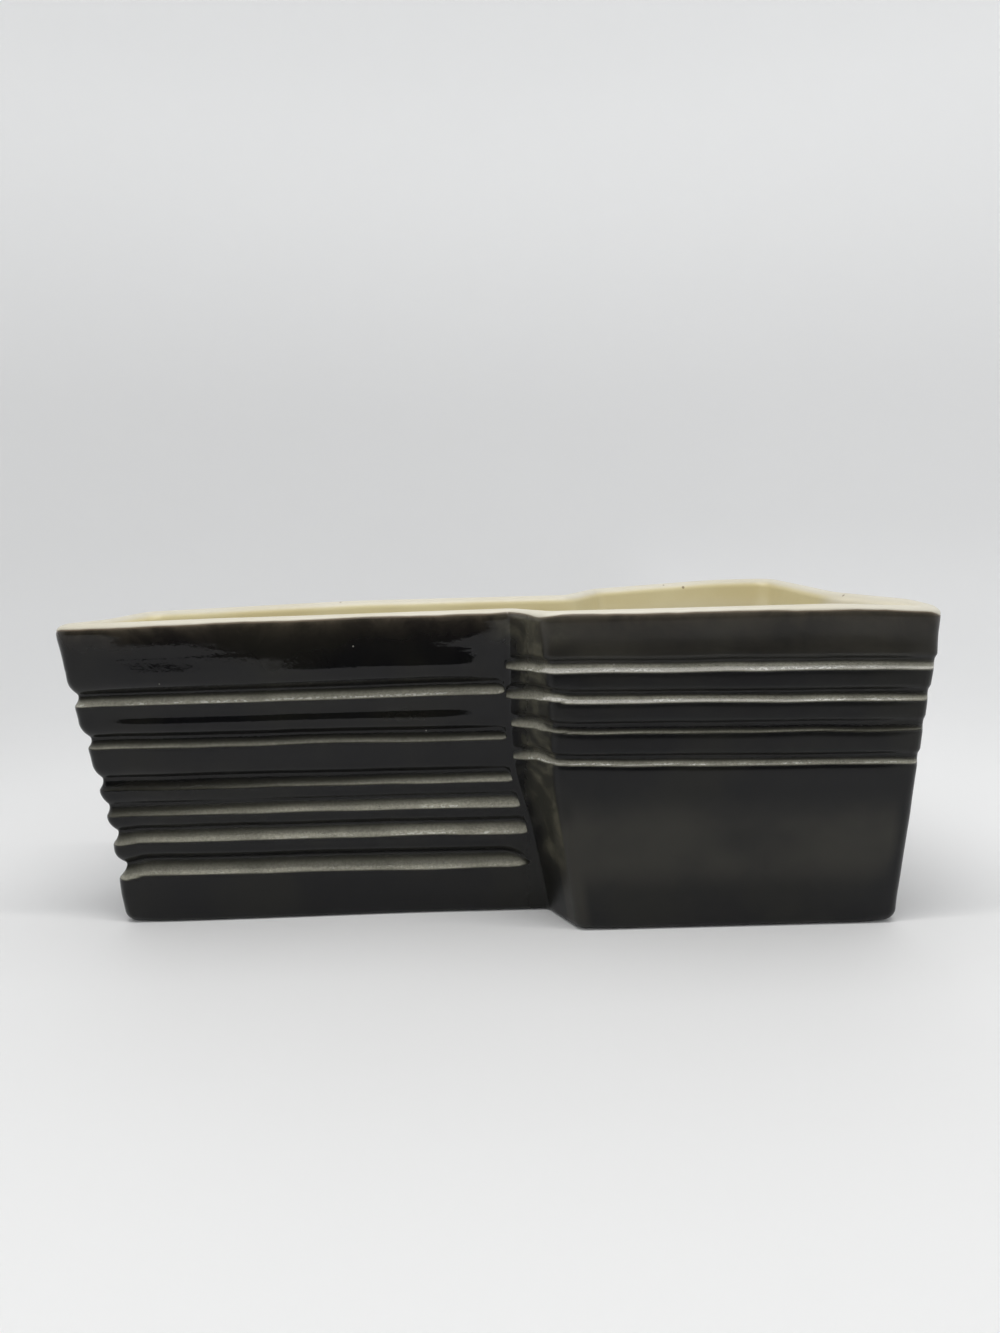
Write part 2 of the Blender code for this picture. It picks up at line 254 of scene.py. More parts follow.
# The cream coat ends on the outside of the lip, at these X this far under the lip's crest
LAP_PLACES = mm(-168, -166, -110, -72, -26, 0, 14, 33, 55, 95, 130, 162, 164, 166, 167)
LAP_DEPTHS = mm(2.6, 2.0, 1.7, 1.3, 1.3, 1.7, 1.5, 1.1, 1.5, 1.55, 1.9, 1.9, 2.2, 3.0, 3.6)
LAP_WAVE = 0.2 * MM
LAP_WAVE_SIZE = 40 * MM
LAP_RIPPLE_SIZE = 12 * MM
# At the step it sags or rises: share of the way along the return, then sag and reach in mm
LAP_SAGS = ((0.80, 1.0, 5.0), (0.10, -0.7, 7.0))
LAP_SINES = (0.03, 0.9)
# The black coat dips under the cream's end: share of the way up to it and share of the dip, row by row
LAP_STEP = 0.15 * MM
LAP_DIP_ROWS = ((0.3, 0.3), (0.65, 0.7))
LAP_TUCK_ANGLE = 8
# The cream's end, row by row: degrees past the lap, share of the step it's set in by, how brown it is
CREAM_END_ROWS = ((0.0, 1.0, 0.85), (2.5, 0.45, 0.38), (7.0, 0.12, 0.08), (14.0, 0.0, 0.0))
CREAM_END_STEP = 1.2

# Where the black coat lies thin and so is brown, olive or paler. The olive on the right box's lower panel
# is also a painted reflection, and the paler olive low on the step's front corner is a painted highlight.
# A pair is the heights, or the X, or the share of a wall, over which something starts.
BROWN_REACH = 3.4 * MM
BROWN_RIM = 0.5 * MM
RIGHT_LESS_BROWN = 0.2
RIGHT_BOX = (6 * MM, 16 * MM)
PANEL_REFLECTION_FOOT = (14 * MM, 30 * MM)
PANEL_REFLECTION_TOP = (58 * MM, 42 * MM)
TOP_BAND = (104 * MM, 112 * MM)
TOP_OLIVE = 0.9
TOP_BROWN = 0.12
CORNER_HIGHLIGHT_TOP = (52 * MM, 40 * MM)
CORNER_SHARE = 0.72
JOG_THIN = 0.90
JOG_THIN_FOOT = (16 * MM, 38 * MM)
JOG_THIN_START = (0.1, 0.5)
LIP_PATCH_X = 17 * MM
LIP_PATCH_REACH = 11 * MM
LIP_PATCH_DEPTH = 14 * MM
# How satin the black coat is: the right box, the left box's lower and upper bands, none in its top band
RIGHT_SATIN = 0.95
LOW_SATIN = 0.45
HIGH_SATIN = 0.12
HIGH_SATIN_FROM = 76 * MM
GLOSSY_BAND = (96 * MM, 100 * MM)
# Depths below the lip over which the cream coat turns yellower, partly painted shade under the lip, and
# then paler again, painted bounce light lower down
YELLOW_SHADE_DEPTH = (0.2 * MM, 2.2 * MM)
BOUNCE_LIGHT_DEPTH = (5 * MM, 17 * MM)
BOUNCE_PALER = 0.6
# Painted light near the right box's front corner: up to this share of the end wall, and along the front
PAINTED_LIGHT_END = (0.40, 0.62)
PAINTED_LIGHT_FRONT = (0, 30 * MM)

# Mesh density: columns round the planter, rows up the outside, over the lip and down the inside
ARC_POINTS = 7
COLUMN_STEP = 4.0 * MM
END_COLUMN_STEP = 0.6 * MM
END_COLUMN_SPAN = 14.4 * MM
JOG_COLUMN_STEP = 1.6 * MM
FINE_ROW = 0.45 * MM
FINE_FROM = 16 * MM
FINE_TO = 113 * MM
COARSE_ROW = 1.5 * MM
SOFTENINGS = 2
FOOT_ROWS = np.array((0.0, 0.05, 0.12, 0.22, 0.34, 0.48, 0.65, 0.82, 1.0))
LIP_ROWS = 46
CREAM_LIP_ROWS = 18
CLAY_LIP_ROWS = 9
BLEND_ROWS = 8
WALL_ROWS = 24
FILLET_ROWS = 7
# Hidden sides have fewer rows. With every fifth one, the black coat's would come through in the grooves.
SKIN_STEP = 4
CLAY_STEP = 3
CREAM_SKIN_ROWS = 8

# The stage, in metres: a round floor, the curve up from it and the wall
SWEEP_RADIUS = 0.75
COVE_RADIUS = 0.40
WALL_TOP = 1.5
SWEEP_SIDES = 96
# Painted light on the paper, as a glow: from and to which distance from the middle, height or X it
# changes, and from and to how much. The last two hold only on the floor and only on the wall, by the
# shares that follow them.
FLOOR_GLOW = (0.13, 0.36, 0.01, 0.085)
FAR_GLOW = (0.36, 0.80, 0.0, 0.045)
WALL_GLOW = (0.26, 0.75, 0.0, 0.158)
RIGHT_GLOW = (0.13, 0.25, 0.0, 0.05)
ON_FLOOR = (0.02, 0.15, 1.0, 0.0)
TILTED_GLOW = (-0.8, 0.8, -0.02, 0.02)
ON_STAGE_WALL = (0.0, 0.15, 0.0, 1.0)
# The dark screen's line in the plan, and its height
SCREEN_LINE = ((-0.9, -0.60), (-0.26, -0.52), (-0.14, -0.43), (0.04, -0.42), (0.10, -0.45), (0.9, -0.50))
SCREEN_HEIGHT = 0.62
# Each lamp's name, its place, the point that it faces, its two sizes, its power and its colour
LAMPS = (
    ("ceiling", (0.0, -0.13, 0.80), (0.0, -0.13, 0.0), (0.9, 0.65), 2.3, (1.0, 1.0, 1.0)),
    ("strip_front", (0.0, -0.16, 0.60), (0.0, -0.06, 0.1), (0.5, 0.03), 1.2, (1.0, 0.99, 0.97)),
)
ROOM_COLOUR = (0.97, 0.985, 1.0, 1.0)
ROOM_LIGHT = 0.34
# The photograph's camera, fitted to the base, the rim and the ledges. Its lens is as long as its sensor
# is wide.
CAMERA_PLACE = (0.00442, -0.42447, 0.1693)
CAMERA_PITCH = math.radians(9.45)
CAMERA_ROLL = -0.026
CAMERA_LENS = 36.0


def smooth(low, high, value):
    t = np.clip((value - low) / (high - low), 0, 1)
    return t * t * (3 - 2 * t)


def blend(start, end, share):
    return start + (end - start) * share


def cross(first, second):
    return first[:, 0] * second[:, 1] - first[:, 1] * second[:, 0]


def waves(points, size, seed, count=16):
    """Smooth random relief, mostly from -1 to 1, whose bumps are about this size."""
    random = np.random.default_rng(seed)
    ways = random.normal(size=(count, points.shape[-1]))
    ways /= np.linalg.norm(ways, axis=1)[:, None]
    rates = random.uniform(0.6, 1.5, count) * 2 * math.pi / size
    phases = random.uniform(0, 2 * math.pi, count)
    total = np.zeros(points.shape[:-1])
    for way, rate, phase in zip(ways, rates, phases):
        total += np.sin(points @ (way * rate) + phase)
    return total * 0.5 / math.sqrt(count / 2)


def rim_plan():
    """The eight corners of the rim, anticlockwise from the front left."""
    half = RIM_LENGTH / 2
    front = -RIGHT_DEPTH / 2
    back = RIGHT_DEPTH / 2
    left_front = front + FRONT_STEP
    left_back = left_front + LEFT_DEPTH
    return np.array((
        (-half, left_front),
        (FRONT_JOG_X, left_front),
        (FRONT_JOG_X + FRONT_JOG_RUN, front),
        (half, front),
        (half - RIGHT_END_SLANT, back),
        (BACK_JOG_X + BACK_JOG_RUN, back - BACK_SLANT),
        (BACK_JOG_X, left_back),
        (-half + LEFT_END_SLANT, left_back),
    ))


PLAN = rim_plan()
ALONG = np.roll(PLAN, -1, axis=0) - PLAN
EDGE_LENGTHS = np.linalg.norm(ALONG, axis=1)
ALONG = ALONG / EDGE_LENGTHS[:, None]
INWARD = np.stack((-ALONG[:, 1], ALONG[:, 0]), axis=1)
BEFORE = np.roll(ALONG, 1, axis=0)
TURNS = np.arctan2(cross(BEFORE, ALONG), (BEFORE * ALONG).sum(axis=1))


def jog_lean(height):
    """The short returns lean little in their ridged half and more below it."""
    top = JOG_WAIST_LEAN * (RIM_HEIGHT - height) / (RIM_HEIGHT - JOG_WAIST_HEIGHT)
    steeper = (JOG_LEAN - JOG_WAIST_LEAN) / JOG_WAIST_HEIGHT
    steeper -= JOG_WAIST_LEAN / (RIM_HEIGHT - JOG_WAIST_HEIGHT)
    below = JOG_WAIST_HEIGHT - height
    soft = JOG_WAIST_SOFTNESS
    return top + steeper * (below + math.sqrt(below ** 2 + soft ** 2)) / 2


def edge_leans(height):
    drop = 1 - height / RIM_HEIGHT
    waist = LEFT_WAIST * math.sin(math.pi * min(1, max(0, drop))) ** 2
    return np.array((
        FRONT_LEAN * drop + waist,
        jog_lean(height),
        FRONT_LEAN * drop,
        RIGHT_END_LEAN * drop + np.interp(height, RIGHT_HOLLOW_HEIGHTS, RIGHT_HOLLOWS),
        BACK_LEAN * drop,
        BACK_LEAN * drop,
        BACK_LEAN * drop + waist,
        LEFT_END_LEAN * drop + np.interp(height, LEFT_HOLLOW_HEIGHTS, LEFT_HOLLOWS),
    ))


def edge_shares(edge):
    """Where the columns stand along one wall, from 0 to 1, both ends left out."""
    length = EDGE_LENGTHS[edge]
    if edge in (FRONT_INNER, BACK_JOG):
        count = round(length / JOG_COLUMN_STEP)
        return np.arange(1, count) / count
    count = round(length / COLUMN_STEP)
    shares = np.arange(1, count) / count
    if edge in (FRONT_LEFT, BACK_INNER):
        fine = np.arange(END_COLUMN_STEP, END_COLUMN_SPAN, END_COLUMN_STEP) / length
        shares = np.concatenate((shares[shares < 1 - fine[-1] - 0.5 / count], 1 - fine[::-1]))
    if edge == BACK_INNER:
        shares = 1 - shares[::-1]
    return shares


def column_table():
    """For each column round the planter: its corner or wall, whether it is on a wall, its share."""
    rows = []
    for i in range(CORNERS):
        rows += [(i, 0, t) for t in np.linspace(0, 1, ARC_POINTS)]
        rows += [(i, 1, t) for t in edge_shares(i)]
    table = np.array(rows)
    return table[:, 0].astype(int), table[:, 1] > 0, table[:, 2]


PLACE, ON_WALL, SHARE = column_table()
NEXT = (PLACE + 1) % CORNERS
# How far each column is past the start of its wall, and how far short of the wall's end
BEHIND = SHARE * EDGE_LENGTHS[PLACE]
AHEAD = (1 - SHARE) * EDGE_LENGTHS[PLACE]


def on(*corners):
    """Which columns are on the walls that start at these corners."""
    return np.isin(PLACE, corners) & ON_WALL


def at(*corners):
    """Which columns are on the arcs of these corners."""
    return np.isin(PLACE, corners) & ~ON_WALL


# How far each column moves with the step's front corner, and with the inner corner where the step starts
STEP_SHARE = np.select([on(FRONT_INNER), on(FRONT_CORNER), at(FRONT_CORNER)],
                       [SHARE, 1 - smooth(0, STEP_SHIFT_FADE, BEHIND), 1])
INNER_SHARE = np.select([on(FRONT_INNER), on(FRONT_LEFT), at(FRONT_INNER)],
                        [1 - SHARE, 1 - smooth(0, INNER_SHIFT_FADE, AHEAD), 1])
# How far it takes part in the left box's twist
TWIST = np.select([on(FRONT_LEFT), on(FRONT_INNER), at(FRONT_INNER)],
                  [smooth(*LEFT_TWIST_START, SHARE), 1 - SHARE, 1])


def corner_radii(height, inset):
    share = np.clip((height - LOW_CORNER_HEIGHT) / (LIP_BASE - LOW_CORNER_HEIGHT), 0, 1)
    convex = np.full(CORNERS, blend(LOW_CORNER_RADIUS, CORNER_RADIUS, share))
    convex[FRONT_CORNER] = STEP_CORNER_RADIUS
    inwards = np.clip(inset / LIP_THICKNESS, 0, 1)
    convex = blend(convex, INSIDE_CORNER_RADIUS, inwards)
    return np.where(CONCAVE, INNER_CORNER_RADIUS + inset, convex)


def outline(height, inset):
    """Every column's place in the plan at this height, and its inward normal."""
    moved = PLAN + INWARD * (edge_leans(height) + inset)[:, None]
    before = np.roll(moved, 1, axis=0)
    reach = cross(moved - before, ALONG) / cross(BEFORE, ALONG)
    corners = before + BEFORE * reach[:, None]

    radii = corner_radii(height, inset)
    trims = radii * np.abs(np.tan(TURNS / 2))
    side = np.sign(TURNS)
    starts = corners - BEFORE * trims[:, None]
    ends = corners + ALONG * trims[:, None]
    before_in = np.roll(INWARD, 1, axis=0)
    middles = starts + before_in * (side * radii)[:, None]

    angle = np.arctan2(before_in[:, 1], before_in[:, 0])[PLACE] + TURNS[PLACE] * SHARE
    arc_normal = np.stack((np.cos(angle), np.sin(angle)), axis=1)
    on_arc = middles[PLACE] - arc_normal * (side * radii)[PLACE][:, None]
    on_wall = blend(ends[PLACE], starts[NEXT], SHARE[:, None])
    places = np.where(ON_WALL[:, None], on_wall, on_arc)
    normals = np.where(ON_WALL[:, None], INWARD[PLACE], arc_normal)
    places[:, 0] += STEP_SHARE * np.interp(height, STEP_SHIFT_HEIGHTS, STEP_SHIFTS)
    places[:, 0] += INNER_SHARE * np.interp(height, INNER_SHIFT_HEIGHTS, INNER_SHIFTS)
    return places, normals


def plan_shift():
    """The frame's origin is the middle of the planter's outline."""
    places = outline(LIP_BASE, 0)[0]
    return (places.min(axis=0) + places.max(axis=0)) / 2


SHIFT = plan_shift()
RIM = outline(RIM_HEIGHT, 0)[0]
STEPS = np.linalg.norm(np.roll(RIM, -1, axis=0) - RIM, axis=1)
RUN = np.concatenate(((0,), np.cumsum(STEPS)[:-1]))
ROUND = STEPS.sum()


def corner_run(corner):
    """How far round the rim the middle of this corner's arc is."""
    return RUN[at(corner)].mean()


def rim_lift(wanted):
    """The lift of every column from the chosen corners, smoothed along the rim."""
    stations = []
    for corner, lifts in RIM_LIFTS.items():
        here = corner_run(corner)
        way = (corner_run((corner + 1) % CORNERS) - here) % ROUND
        stations += [(here + way * share, lift * MM * (corner in wanted)) for share, lift in lifts]
    places, lifts = zip(*sorted(stations))
    fine = np.arange(0, ROUND, 1 * MM)
    known = np.interp(fine, places, lifts, period=ROUND)
    reach = np.arange(-3 * LIFT_SOFTNESS, 3 * LIFT_SOFTNESS, 1 * MM)
    weights = np.exp(-(reach / LIFT_SOFTNESS) ** 2 / 2)
    soft = sum(w * np.interp(fine + r, fine, known, period=ROUND) for w, r in zip(weights, reach))
    return np.interp(RUN, fine, soft / weights.sum(), period=ROUND)


LEFT_LIFT = rim_lift(LEFT_CORNERS)
RIGHT_LIFT = rim_lift([i for i in range(CORNERS) if i not in LEFT_CORNERS])


def in_space(places, height):
    """Places in the plan as points at this height, with the fired rim's rise and sag added."""
    left = LEFT_LIFT * smooth(LEFT_SAG_START, RIM_HEIGHT, height)
    right = RIGHT_LIFT * smooth(RIGHT_SAG_START, RIM_HEIGHT, height)
    return np.column_stack((places - SHIFT, height + left + right))


def row(height, inset):
    """One outline as points in space."""
    return in_space(outline(height, inset)[0], height)


def ledge_waves(plan, size, seed, height):
    """A slow change along a ledge and a quick one on top of it."""
    return waves(plan, size, seed) * height + waves(plan, size * 0.36, seed + 20) * height * 0.3


def ledge_changes(plan, changes, seed):
    """How much one ledge's height changes along it, and by which factors how tall and how deep it is."""
    (size, height), (tall_size, tall_share), (deep_size, deep_share) = changes
    drift = ledge_waves(plan, size * MM, seed, height * MM)
    taller = 1 + tall_share * waves(plan, tall_size * MM, seed + 40)
    deeper = 1 + deep_share * waves(plan, deep_size * MM, seed + 60)
    return drift, taller, deeper


def left_ledges(plan):
    """The ledges of the left box, as values for every column."""
    x = plan[:, 0]
    corner_x = PLAN[:, 0] - SHIFT[0]
    front = on(FRONT_LEFT)
    end_wall = (PLACE == BACK_LEFT) | at(FRONT_LEFT)
    walls = end_wall | front | on(BACK_INNER)
    from_end = np.where(end_wall, 0, x - x[at(FRONT_LEFT)].max())
    top = np.full(len(PLACE), LIP_BASE)
    ledges = []
    for k, (groove, edge, depth, gain, hollow) in enumerate(LEFT_LEDGES):
        drift, taller, deeper = ledge_changes(plan, LEFT_CHANGES, LEFT_SEED + k)
        tilt = gain * MM * (x / (RIM_LENGTH / 2) + 0.5)
        heights = groove * MM + tilt * (x < corner_x[FRONT_INNER]) + drift
        heights = heights - LEFT_END_DROPS[k] * MM * (1 - smooth(0, LEFT_END_DROP_REACH, from_end))
        tall = (groove - edge) * MM * taller
        deep = depth * MM * deeper * np.where(end_wall, LEFT_END_DEEPER, 1.0)
        end = np.where(front, LEFT_LEDGE_ENDS[k] * MM - x, 1.0)
        end = np.where(on(BACK_INNER), corner_x[BACK_INNER] - BACK_END_CLEAR - x, end)
        shape = np.clip(end / (LEFT_END_LENGTHS[k] * MM), 0, 1)
        presence = (1 - (1 - shape) ** 2) * walls
        shown = tall * blend(END_LEAST, 1, presence)
        heights = heights - tall * END_NARROWING * (1 - presence) * front
        stand, *upright = LEFT_BANDS[k]
        stood = stand * MM * smooth(0, BAND_END_REACH, end) * walls
        stood = stood * blend(LEFT_END_STAND, 1, smooth(0, LEFT_STAND_REACH, from_end))
        if k == 0:
            stood = stood * blend(TOP_BAND_STAND, 1, smooth(*TOP_BAND_REACH, from_end))
        # Pale thin glaze and a painted highlight at the ledge's edge, less at its rounded end
        pale = np.interp(x, (x.min(), 0), LEFT_PALE_HIGHLIGHT[k]) * smooth(0, END_PALE_HIGHLIGHT, presence)
        ledges.append(Ledge(heights, shown, deep * presence, OVERHANG_RISE, hollow, LEFT_NOSE * presence,
                            stood, upright, top, pale, LEFT_SHINE[k]))
        top = heights - shown
    return ledges


def right_ledges(plan):
    """The ledges of the right box and of both returns, as values for every column."""
    x = plan[:, 0]
    on_step = on(FRONT_INNER, BACK_JOG) | at(FRONT_INNER, BACK_INNER)
    right_walls = np.isin(PLACE, (FRONT_CORNER, FRONT_RIGHT, BACK_RIGHT, BACK_JOG))
    arc = INNER_CORNER_RADIUS * abs(TURNS[FRONT_INNER])
    into = np.where(on(FRONT_INNER), arc + BEHIND, np.where(on(BACK_JOG), arc + AHEAD, 1.0))
    into = np.where(at(FRONT_INNER), arc * SHARE, into)
    into = np.where(at(BACK_INNER), arc * (1 - SHARE), into)
    share = np.clip((into - arc) / EDGE_LENGTHS[FRONT_INNER], 0, 1)
    turned = smooth(JOG_TURN, 1.0, share)
    past = np.where(on(FRONT_CORNER), BEHIND, np.where(on(BACK_RIGHT), AHEAD, 1.0))
    past = np.where(at(FRONT_CORNER, BACK_JOG), 0, past)
    to_end = np.where(on(FRONT_CORNER), AHEAD, np.where(on(BACK_RIGHT), BEHIND, 1.0))
    to_end = np.where((PLACE == FRONT_RIGHT) | at(BACK_RIGHT), 0, to_end)
    near_end = smooth(0, RIGHT_END_FADE, to_end)
    shallower = blend(RIGHT_END_SHALLOWER, 1, near_end)
    top = np.full(len(PLACE), LIP_BASE)
    ledges = []
    for k, (groove, edge, depth, gain, hollow) in enumerate(RIGHT_LEDGES):
        drift, taller, deeper = ledge_changes(plan, RIGHT_CHANGES, RIGHT_SEED + k)
        shape = np.clip((into - JOG_DELAYS[k] * MM) / JOG_START, 0, 1)
        started = np.sqrt(1 - (1 - shape) ** 2)
        presence = np.where(on_step, started, right_walls) * shallower
        bold = np.where(on_step, blend(JOG_LEDGE_GAIN, 1, turned), 1.0)
        bold = bold * np.where(on_step, blend(JOG_LEAST, 1, started), 1.0)
        tilt = gain * MM * (x / (RIM_LENGTH / 2) - 0.5)
        corner = CORNER_CLIMBS[k] * (1 - smooth(0, CORNER_CLIMB_REACH, past))
        climbs = (JOG_CLIMBS[k], MIDDLE_CLIMBS[k], CORNER_CLIMBS[k])
        climb = np.where(on_step, np.interp(share, (0, CLIMB_MIDDLE, 1), climbs), corner)
        heights = groove * MM + tilt + climb * MM + drift
        tall = (groove - edge) * MM * taller
        heights = heights - tall * END_NARROWING * (1 - started) * on_step
        tall = tall * bold
        deep = depth * MM * bold * deeper
        stand, *upright = RIGHT_BANDS[k]
        stood = stand * MM * blend(RIGHT_END_STANDS[k], 1, near_end) * (right_walls & ~on_step)
        # Pale thin glaze and a painted highlight at the ledge's edge
        pale = np.interp(x, (0, x.max()), RIGHT_PALE_HIGHLIGHT[k])
        pale = np.where(on_step, blend(JOG_PALE_HIGHLIGHT, pale, turned), pale)
        pale = pale * np.where(on_step, blend(JOG_START_PALE_HIGHLIGHT, 1, smooth(0, JOG_PALE_HIGHLIGHT_REACH, into)), 1.0)
        shine = np.where(on_step, blend(JOG_SHINE, RIGHT_SHINE[k], turned), RIGHT_SHINE[k])
        ledges.append(Ledge(heights, tall, deep * presence, RIGHT_OVERHANG_RISE, hollow,
                            RIGHT_NOSES[k] * MM * presence, stood, upright, top, pale, shine))
        top = heights - tall
    return ledges


LEDGES = left_ledges(RIM - SHIFT) + right_ledges(RIM - SHIFT)


def ledge_relief(height):
    """The depth of the ledges at this height. Then how far down a ledge each column is, from 0 away
    from the ledges to 1 at a ledge's lower edge, how pale it is there with its painted highlight, and how
    deep in a groove, where painted shade goes."""
    cut, on_edge, pale_highlights, in_groove = np.zeros((4, len(PLACE)))
    for ledge in LEDGES:
        above = (height - ledge.heights) / ledge.rise
        below = (ledge.heights - height) / ledge.tall
        down = (ledge.top - height) / (ledge.top - ledge.heights)
        start, end = ledge.upright
        stand = ledge.stand * np.clip((down - start) / (end - start), 0, 1)
        stand = np.where((down > 0) & (down < 1), stand, 0)
        over = (ledge.deep + ledge.stand) * (1 - np.clip(above, 0, 1)) ** OVERHANG_CURVE
        over = np.where((above >= 0) & (above < 1), over, 0)
        slope = blend(ledge.nose, ledge.deep, 1 - np.clip(below, 0, 1) ** ledge.hollow)
        slope = np.where((below > 0) & (below < 1), slope, 0)
        past = (below - 1) * ledge.tall
        nose = ledge.nose * (1 - np.clip(past / NOSE_LENGTH, 0, 1)) ** 2
        nose = np.where(below >= 1, nose, 0)
        cut = cut + over + slope + nose - stand
        fade = np.clip(1 - past / EDGE_BAND, 0, 1) ** 2
        there = (ledge.deep > SHALLOW) & (above < 0)
        lit = np.where(below < 1, np.clip(below, 0, 1), fade)
        on_edge = np.maximum(on_edge, np.where(there, lit, 0))
        # Paleness: thin glaze and a painted highlight, strongest at the ledge's lower edge
        lit = np.where(below < 1, np.clip(below, 0, 1) ** ledge.shine, fade)
        pale_highlights = np.maximum(pale_highlights, np.where(there, lit * ledge.pale, 0))
        # How close to a groove: where the thick glaze and the painted groove shade go
        close = np.exp(-((height - ledge.heights - GROOVE_MIDDLE) / GROOVE_REACH) ** 2)
        in_groove = np.maximum(in_groove, np.where(ledge.deep > SHALLOW, close, 0))
    return cut, on_edge, pale_highlights, in_groove


def base_radii():
    """The edge at the floor is rounder at the front corners of the ends and of the step."""
    plan = outline(END_BASE_RADIUS, OUTER_INSET)[0]
    radii = np.full(len(plan), BASE_RADIUS)
    rounder = {FRONT_RIGHT: END_BASE_RADIUS, FRONT_LEFT: LEFT_BASE_RADIUS, FRONT_CORNER: STEP_BASE_RADIUS}
    for corner, radius in rounder.items():
        away = np.linalg.norm(plan - plan[at(corner)].mean(axis=0), axis=1)
        radii += (radius - BASE_RADIUS) * np.exp(-(away / END_BASE_REACH) ** 2)
    return radii


BASE_RADII = base_radii()


def base_edge(height):
    """How far the rounded edge at the floor is set in, column by column."""
    rest = np.maximum(0.0, BASE_RADII - height)
    return BASE_RADII - np.sqrt(BASE_RADII ** 2 - rest ** 2)


def body_heights():
    """Heights of the rows up the outside, from the base edge to the start of the lip."""
    foot = END_BASE_RADIUS * FOOT_ROWS
    low = np.arange(END_BASE_RADIUS + COARSE_ROW, FINE_FROM, COARSE_ROW)
    fine = np.arange(FINE_FROM, FINE_TO, FINE_ROW)
    high = np.arange(FINE_TO + COARSE_ROW / 2, LIP_BASE, COARSE_ROW)
    return np.concatenate((foot, low, fine, high, (LIP_BASE,)))


def unevenness(places, height):
    """The soft waviness of a hand-finished wall, none at lip and base. It may stand out only in the
    left box's top band."""
    spots = np.column_stack((places - SHIFT, np.full(len(places), height)))
    x = spots[:, 0]
    band = smooth(*STREAK_BAND, height) * (x < FRONT_JOG_X)
    wide = waves(spots, WIDE_WAVE, 11) * WIDE_DEPTH
    depth = blend(FAINT_STREAK_DEPTH, STREAK_DEPTH, band)
    streaks = waves(spots * STREAK_STRETCH, STREAK_HEIGHT, 12) * depth
    ends = smooth(0, EVEN_FOOT, height) * smooth(LIP_BASE, LIP_BASE - EVEN_TOP, height)
    front = on(FRONT_LEFT)
    free = front * smooth(0, STREAK_END_REACH, x - x[front].min()) * band
    uneven = LEAST_UNEVEN * (1 - free) + wide * (1 - 0.5 * free) + streaks
    return np.where(free > 0, uneven, np.maximum(0, uneven)) * ends


def outside(inset, lowest, step=1):
    """Rows up the outside with ledges, and for each row the values that the glaze's colour needs."""
    heights = body_heights()
    relief = np.array([ledge_relief(height) for height in heights])
    cuts = relief[:, 0]
    for turn in range(SOFTENINGS):
        near = np.pad(cuts, ((1, 1), (0, 0)), mode="edge")
        cuts = (near[:-2] + 2 * near[1:-1] + near[2:]) / 4
    shown = np.flatnonzero(heights >= lowest)
    shown = np.concatenate((shown[:-1:step], shown[-1:]))
    rows = []
    for k in shown:
        places, normals = outline(heights[k], OUTER_INSET + inset)
        cut = cuts[k] + base_edge(heights[k]) + unevenness(places, heights[k])
        places = places + normals * cut[:, None]
        places[:, 1] += LEFT_TWIST * TWIST * (1 - heights[k] / RIM_HEIGHT)
        rows.append(in_space(places, heights[k]))
    return np.array(rows), relief[shown, 1:].swapaxes(0, 1)


def lip(skin, angles):
    """Points over the rounded lip, a row for each row of angles, from 0 outside to 180 inside."""
    radius = LIP_RADIUS - skin
    known = np.linspace(0, 180, LIP_ROWS)
    grid = []
    for angle in known:
        a = math.radians(angle)
        height = LIP_BASE + radius * math.sin(a)
        inset = LIP_RADIUS - radius * math.cos(a)
        outer = OUTER_INSET * math.cos(a / 2) ** 2
        grid.append(row(height, inset + outer))
    grid = np.array(grid) - (0, 0, CREST_DROP)
    spot = np.clip(angles / 180 * (LIP_ROWS - 1), 0, LIP_ROWS - 1.001)
    low = spot.astype(int)
    share = (spot - low)[..., None]
    columns = np.arange(grid.shape[1])
    return grid[low, columns] * (1 - share) + grid[low + 1, columns] * share


def lap_angles():
    """The angle on the lip at which the cream coat ends, one value per column."""
    plan = RIM - SHIFT
    depth = np.interp(plan[:, 0], LAP_PLACES, LAP_DEPTHS)
    depth = depth + LAP_WAVE * waves(plan, LAP_WAVE_SIZE, 31)
    depth = depth + LAP_WAVE / 2 * waves(plan, LAP_RIPPLE_SIZE, 32)
    for share, sag, reach in LAP_SAGS:
        middle = PLAN[FRONT_INNER] * (1 - share) + PLAN[FRONT_CORNER] * share - SHIFT
        away = np.linalg.norm(plan - middle, axis=1)
        depth = depth + sag * MM * np.exp(-(away / (reach * MM)) ** 2)
    return np.degrees(np.arcsin(np.clip((LIP_RADIUS - depth) / LIP_RADIUS, *LAP_SINES)))


LAP = lap_angles()


def inside(skin):
    """Rows down the inside and out over the floor."""
    bottom = FLOOR_THICKNESS - skin
    thick = WALL_THICKNESS - skin
    rows = []
    for share in np.linspace(0, 1, BLEND_ROWS + 1)[1:]:
        inset = LIP_THICKNESS - skin + (WALL_THICKNESS - LIP_THICKNESS) * smooth(0, 1, share)
        rows.append(row(LIP_BASE - WALL_BLEND_DEPTH * share, inset))
    for share in np.linspace(0, 1, WALL_ROWS + 1)[1:-1]:
        rows.append(row(blend(LIP_BASE - WALL_BLEND_DEPTH, bottom + FLOOR_FILLET, share), thick))
    for angle in np.linspace(0, 90, FILLET_ROWS):
        a = math.radians(angle)
        height = bottom + FLOOR_FILLET * (1 - math.sin(a))
        rows.append(row(height, thick + FLOOR_FILLET * (1 - math.cos(a))))
    return np.array(rows)


def with_last(rows, step):
    """One row in so many, and the last one."""
    return np.concatenate((rows[::step], rows[-1:]))


def add_object(name, data):
    made = bpy.data.objects.new(name, data)
    bpy.context.scene.collection.objects.link(made)
    return made


def make_object(name, points, faces, material, soft=True):
    mesh = bpy.data.meshes.new(name)
    mesh.from_pydata(points, [], faces)
    mesh.polygons.foreach_set("use_smooth", [soft] * len(mesh.polygons))
    mesh.materials.append(material)
    return add_object(name, mesh)


